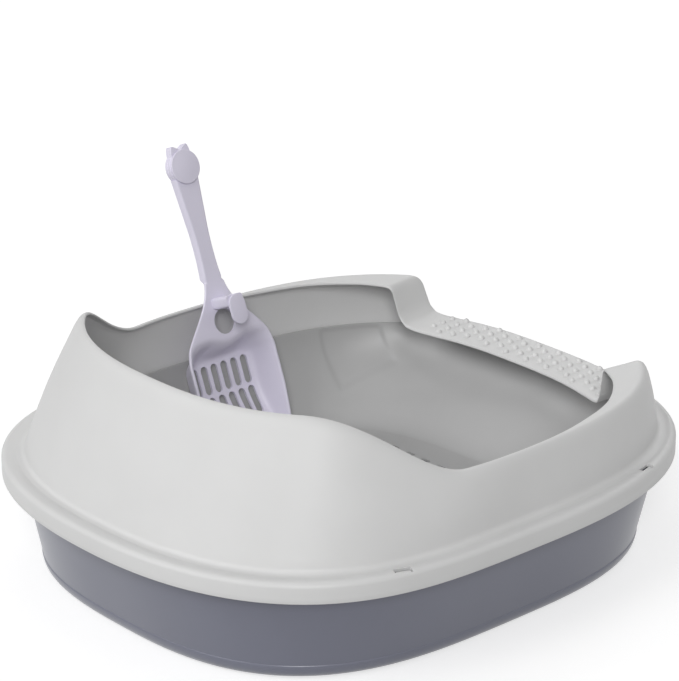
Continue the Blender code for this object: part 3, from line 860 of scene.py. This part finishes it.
def sieveLip(inward, height):
    # around the lip that stands up inside the shield's wall, and the wall's outer corner under it
    side, front, back = sieveInsets(0.0, inward)
    return lambda turn: onOutline(turn, side, front, back, height, box["wallPowers"])


def sieveRings():
    sheet, radius = stack["sieveSheet"], sievePan["floorRadius"]
    under, top = sieveFlangeUnder, sieveFlangeTop
    inner = radius - sheet * 0.4
    rings = [sieveInner(sieveFloorTop + inner * (1.0 - math.cos(angle)),
                        inner * (1.0 - math.sin(angle)) * sievePan["floorTuck"])
             for angle in quarterTurn(0, 5)]                  # the floor's soft turn into the walls
    steps = sievePan["wallSteps"]
    rings += [sieveInner(blend(sieveFloorTop + inner, lipTop, step / steps)) for step in range(1, steps + 1)]
    for step in range(1, 7):                                  # over the lip's round top
        angle = math.pi * step / 6
        rings.append(sieveLip(lipOut + lipHalf * (1.0 + math.cos(angle)), lipTop + lipHalf * math.sin(angle)))
    foot, edge, inset = sievePan["lipFoot"], sievePan["flangeEdge"], sievePan["flangeInset"]
    rings += [sieveLip(lipOut, top + foot), sieveLip(lipOut - foot, top)]
    rings += [skirtRing(inset + edge, top), skirtRing(inset, top - edge),
              skirtRing(inset, under + edge), skirtRing(inset + edge, under)]
    rings += [sieveLip(-sievePan["corner"], under), sieveWall(sieveWallTop)]
    rings += [sieveWall(blend(sieveWallTop, sieveFloorUnder + radius, share / 5)) for share in range(1, 6)]
    for angle in quarterTurn(1, 4):
        height = sieveFloorUnder + radius * (1.0 - math.sin(angle))
        rings.append(sieveWall(height, radius * (1.0 - math.cos(angle)) * sievePan["underTuck"]))
    return rings


def sieveHoles():
    side, front, back = sieveInsets(1.0, 0.0)
    margin = sievePan["holeMargin"] + sievePan["floorRadius"] * (1.0 - math.sqrt(0.5))
    places = []
    reach = sievePan["holeReach"]
    for row in range(-reach, reach + 1):
        for column in range(-reach, reach + 1):
            x = column * sievePan["holePitchX"] + (sievePan["holePitchX"] / 2 if row % 2 else 0.0)
            y = row * sievePan["holePitchY"]
            powerX, powerY = panPowers(sieveFloorUnder)[1 if y > 0 else 0]
            spanX = halfWidth - side - margin
            spanY = halfLength - (back if y > 0 else front) - margin
            if (abs(x) / spanX) ** powerX + (abs(y) / spanY) ** powerY < 1.0:
                places.append((x, y))
    return places


def buildSievePan():
    bm = sweepRings(sieveTurns, sieveRings(), closed=False)
    piece = makePiece("sievePanSkin", bm, plastics["sievePlastic"])
    bm = bmesh.new()
    places = sieveHoles()
    middle = (sieveFloorTop + sieveFloorUnder) / 2
    for x, y in places:
        uprightBar(bm, Vector((1, 0, 0)), Vector((0, 1, 0)), Vector((x, y, 0)), middle,
                   sievePan["holeLength"], sievePan["holeWidth"], sievePan["holeDepth"],
                   sievePan["holeWidth"] * 0.49)
    cutAway(piece, bm, sievePan["sharpAngle"])
    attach(piece, "sieve_pan")
    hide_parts("sieve_pan")
    print("sieve pan:", len(piece.data.polygons), "faces,", len(places), "holes")


def panelWeight(point):
    low, high = sievePan["panelFine"]
    atPanel = low < point.y < high and abs(point.x) > sievePan["panelFineX"]
    return sievePan["panelWeight"] if atPanel else 1.0


panTurns = evenTurns(skirtRing(basePan["side"], 0.0), box["stations"], lambda point: 1.0)
sieveTurns = evenTurns(sieveWall(sievePan["evenAt"]), sievePan["stations"], panelWeight)

# scoop: x across, z up from its mouth and the open side towards -y, until it is leaned on the rim
scoop = {
    "length": 0.2620, "halfWidth": 0.0490, "pocketDepth": 0.0260, "sheet": 0.0024, "rimSheet": 0.0031,
    "foot": (0.14985, -0.0350, 0.02659), "lean": 22.0,
    "rimCurve": ((0.0, 0.88), (0.050, 0.92), (0.085, 0.95), (0.145, 0.98), (0.195, 1.0), (0.310, 1.0),
                 (0.338, 1.0), (0.356, 0.985), (0.390, 0.935), (0.414, 0.855), (0.447, 0.71), (0.487, 0.53),
                 (0.530, 0.36), (0.575, 0.25), (0.640, 0.19), (0.750, 0.18), (0.850, 0.22), (0.985, 0.28)),
    "floorCurve": ((0.0, 0.80), (0.050, 0.80), (0.145, 0.78), (0.240, 0.76), (0.310, 0.75), (0.338, 0.68),
                   (0.356, 0.59), (0.390, 0.50), (0.414, 0.44), (0.447, 0.40), (0.487, 0.36), (0.530, 0.26),
                   (0.575, 0.19), (0.600, 0.15), (0.985, 0.22)),
    "depthCurve": ((0.240, 1.0), (0.315, 1.0), (0.334, 0.985), (0.350, 0.90), (0.366, 0.70), (0.384, 0.40),
                   (0.398, 0.16), (0.412, 0.03), (0.424, 0.0)),
    "lipDip": 0.0060, "lipDipWidth": 0.0150, "lipDipRise": (0.086, 0.012),
    "mouthDepth": 0.0010, "creaseDepth": 0.0130, "creaseMiddle": 0.0220, "creaseSide": 0.0125,
    "creaseBend": (0.012, 0.024), "deepFrom": 0.0620,
    "floorRadius": 0.0075, "plateRadius": 0.0012, "radiusRise": 0.0060,
    "floorSteps": 6, "cornerSteps": 6, "wallSteps": 4, "tipSteps": 6, "sharpAngle": 34.0,
    "fineBands": ((-0.001, 0.030), (0.084, 0.114), (0.150, 0.166)), "fineStep": 0.0016, "wideStep": 0.0032,
    "ribStart": 0.595, "ribSlant": 0.022, "ribDepth": 0.0056,
    "gripHeight": 0.1205, "gripRadius": 0.0114,
    "slotWidth": 0.0076, "slotPitch": 0.0114, "cutDepth": 0.0080,
    "slotRows": ((0.274, 0.100, 6), (0.164, 0.100, 6), (0.069, 0.055, 3)),
    "strapWidth": 0.0180, "strapHeight": 0.0105, "strapGap": 0.0003, "strapCorner": 0.0028,
    "hookDepth": 0.0240,
    "paddleLength": 0.0270, "paddleWidth": 0.0175, "paddleRound": 0.0007,
    "headRadius": 0.0155, "headDepth": 0.0080, "earHeight": 0.0065, "earAngle": 23.0, "earSpread": 21.0,
    "headRound": 0.0006, "headSides": 120,
    "buttonRise": 0.0040, "buttonDome": 0.0014, "buttonGroove": 0.0009, "buttonRound": 0.0008,
    "buttonSink": 0.0002,
}
scoopUp = Matrix.Rotation(math.radians(scoop["lean"]), 4, "Y") @ Matrix.Rotation(-math.pi / 2, 4, "Z")
scoopPlace = Matrix.Translation(scoop["foot"]) @ scoopUp


def pocketDepth(x, z):
    # the floor rises to the mouth from a crease that lies lower at the sides than in the middle
    bendFrom, bendSpan = scoop["creaseBend"]
    side = easeIn((abs(x) - bendFrom) / bendSpan)
    crease = blend(scoop["creaseMiddle"], scoop["creaseSide"], side)
    if z < crease:
        return blend(scoop["mouthDepth"], scoop["creaseDepth"], z / crease)
    if z < scoop["deepFrom"]:
        rise = math.sin(math.pi / 2 * (z - crease) / (scoop["deepFrom"] - crease))
        return blend(scoop["creaseDepth"], scoop["pocketDepth"], rise)
    dipFrom, dipSpan = scoop["lipDipRise"]
    dip = scoop["lipDip"] * bell(x, scoop["lipDipWidth"]) * easeIn((z - dipFrom) / dipSpan)
    return scoop["pocketDepth"] * max(traced(scoop["depthCurve"], (z + dip) / scoop["length"]), 0.0)


def halfSection(z):
    # half of the sheet's middle line at a height, with its half thickness: floor, soft corner, wall or rib
    share = z / scoop["length"]
    rim = traced(scoop["rimCurve"], share) * scoop["halfWidth"]
    floor = traced(scoop["floorCurve"], share) * scoop["halfWidth"]
    half = scoop["sheet"] / 2
    ribbed = easeIn((share - scoop["ribStart"]) / scoop["ribSlant"])
    deep = easeIn(pocketDepth(floor, z) / scoop["radiusRise"])
    tipHalf = blend(half, scoop["rimSheet"] / 2, deep)
    corner = Vector((blend(floor, rim - half, ribbed), pocketDepth(floor, z) + half))
    tip = Vector((rim - blend(tipHalf, half, ribbed), tipHalf + scoop["ribDepth"] * ribbed))
    radius = blend(scoop["plateRadius"], scoop["floorRadius"], deep)
    reach = min(radius, (tip - corner).length * 0.6, corner.x * 0.4)
    steps = scoop["floorSteps"]
    line = [Vector((corner.x * step / steps, 0.0)) for step in range(steps)]
    for point in line:
        point.y = pocketDepth(point.x, z) + half
    start = corner + (line[-1] - corner).normalized() * reach
    end = corner + (tip - corner).normalized() * reach
    line[-1] = line[-2].lerp(start, 0.5)
    for step in range(scoop["cornerSteps"] + 1):
        share = step / scoop["cornerSteps"]
        line.append(start.lerp(corner, share).lerp(corner.lerp(end, share), share))
    widths = [half] * len(line)
    for step in range(1, scoop["wallSteps"] + 1):
        share = step / scoop["wallSteps"]
        line.append(end.lerp(tip, share))
        widths.append(blend(half, tipHalf, share))
    return line, widths


def scoopRing(z):
    line, widths = halfSection(z)
    sides = []
    for index, point in enumerate(line):
        ahead = line[min(index + 1, len(line) - 1)] - line[max(index - 1, 0)]
        normal = Vector((-ahead.y, ahead.x)).normalized() * widths[index]
        if index == 0:
            normal = Vector((0.0, widths[0]))
        sides.append((point - normal, point + normal))
    tipDirection = (line[-1] - line[-2]).normalized()
    tipNormal = Vector((-tipDirection.y, tipDirection.x))
    steps = scoop["tipSteps"]
    cap = [line[-1] + (tipDirection * math.sin(angle) - tipNormal * math.cos(angle)) * widths[-1]
           for angle in (math.pi * step / steps for step in range(1, steps))]
    half = [side[0] for side in sides] + cap + [side[1] for side in reversed(sides)]
    whole = half + [Vector((-point.x, point.y)) for point in reversed(half[1:-1])]
    return [Vector((point.x, point.y, z)) for point in whole]


def scoopHeights():
    last = scoop["length"] - scoop["headRadius"] * 0.6
    heights = [0.0]
    while heights[-1] < last:
        z = heights[-1]
        fine = any(low < z < high for low, high in scoop["fineBands"])
        heights.append(min(z + scoop["fineStep" if fine else "wideStep"], last))
    return heights


def pillBar(bm, middle, width, height, depth, corner):
    roundBar(bm, Vector((1, 0, 0)), Vector((0, 0, 1)), Vector((0, -1, 0)), Vector(middle),
             width, height, depth, corner)


def roundOff(bm, offset, steepAngle=1.2):
    # softens the edges around the two ends of a bar
    ends = [edge for edge in bm.edges if edge.calc_face_angle(0.0) > steepAngle]
    bmesh.ops.bevel(bm, geom=ends, offset=offset, offset_type="OFFSET", affect="EDGES",
                    segments=3, profile=0.5, material=-1, clamp_overlap=True)


def headRing(angleTurn, y, inset):
    reach = scoop["headRadius"] - inset
    for side in (-1, 1):
        away = abs(angleTurn - math.pi / 2 - side * math.radians(scoop["earAngle"]))
        reach += scoop["earHeight"] * max(0.0, 1.0 - away / math.radians(scoop["earSpread"]))
    return Vector((reach * math.cos(angleTurn), y, scoop["length"] + reach * math.sin(angleTurn)))


def addHead(bm):
    # the head and its ears in two layers with a groove between, then the domed button
    depth, soft = scoop["headDepth"], scoop["headRound"]
    steps = ((0.0, soft), (soft, 0.0), (depth * 0.42, 0.0), (depth * 0.47, soft), (depth * 0.53, soft),
             (depth * 0.58, 0.0), (depth - soft, 0.0), (depth, soft))
    turns = [2.0 * math.pi * step / scoop["headSides"] for step in range(scoop["headSides"])]
    head = sweepRings(turns, [lambda turn, y=y, inset=inset: headRing(turn, y, inset) for y, inset in steps],
                      closed=False)
    joinInto(bm, head)
    radius, rise, dome = scoop["headRadius"], scoop["buttonRise"], scoop["buttonDome"]
    small, neck = scoop["buttonRound"], radius - scoop["buttonGroove"]
    profile = [(neck, scoop["buttonSink"]), (neck, -small), (radius, -scoop["sheet"] / 2),
               (radius, dome - rise + small)]
    profile += [(radius - small * (1.0 - math.cos(angle)), dome - rise + small * (1.0 - math.sin(angle)))
                for angle in quarterTurn(1, 3)]
    profile += [(radius * share * 0.93, -rise + dome * share ** 2) for share in (1.0, 0.8, 0.6, 0.4, 0.2)]
    rings = [lambda turn, r=r, y=y: Vector((r * math.cos(turn), y, scoop["length"] + r * math.sin(turn)))
             for r, y in profile]
    joinInto(bm, sweepRings(turns[::2], rings, closed=False))


def joinInto(bm, other):
    mesh = bpy.data.meshes.new("joined")
    other.to_mesh(mesh)
    other.free()
    bm.from_mesh(mesh)
    bpy.data.meshes.remove(mesh)


def addHook(bm):
    # the strap over the grip hole and the oval paddle that hangs from it
    bottom = scoop["gripHeight"] + scoop["gripRadius"] + scoop["strapGap"]
    top = bottom + scoop["strapHeight"]
    reach = scoop["hookDepth"]
    strap = bmesh.new()
    pillBar(strap, (0.0, (scoop["sheet"] - reach) / 2, (bottom + top) / 2), scoop["strapWidth"],
            scoop["strapHeight"], reach, scoop["strapCorner"])
    joinInto(bm, strap)
    paddle = bmesh.new()
    pillBar(paddle, (0.0, -reach, top - scoop["paddleLength"] / 2), scoop["paddleWidth"],
            scoop["paddleLength"], scoop["sheet"], scoop["paddleWidth"] * 0.485)
    roundOff(paddle, scoop["paddleRound"])
    joinInto(bm, paddle)


def scoopCutters():
    bm = bmesh.new()
    deep = scoop["pocketDepth"] + scoop["sheet"] + scoop["cutDepth"] / 2
    for middle, length, count in scoop["slotRows"]:
        for index in range(count):
            x = (index - (count - 1) / 2) * scoop["slotPitch"]
            pillBar(bm, (x, deep / 2, middle * scoop["length"]), scoop["slotWidth"], length * scoop["length"],
                    deep, scoop["slotWidth"] * 0.49)
    across = scoop["gripRadius"] * 2
    pillBar(bm, (0.0, scoop["sheet"] / 2, scoop["gripHeight"]), across, across, scoop["cutDepth"],
            scoop["gripRadius"] * 0.97)
    return bm


def buildScoop():
    heights = scoopHeights()
    rings = {z: scoopRing(z) for z in heights}
    count = len(rings[0.0])
    bm = sweepRings(range(count), [rings[z].__getitem__ for z in heights], closed=False)
    piece = makePiece("scoopSkin", bm, plastics["scoopPlastic"])
    cutAway(piece, scoopCutters(), scoop["sharpAngle"])
    bm = bmesh.new()
    bm.from_mesh(piece.data)
    addHead(bm)
    addHook(bm)
    bmesh.ops.transform(bm, matrix=scoopPlace, verts=bm.verts[:])
    bm.to_mesh(piece.data)
    bm.free()
    shadeSoft(piece.data, scoop["sharpAngle"])
    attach(piece, "scoop")
    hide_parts("scoop")
    print("scoop:", len(piece.data.polygons), "faces")


buildBasePan()
buildSievePan()
buildShield()
buildScoop()
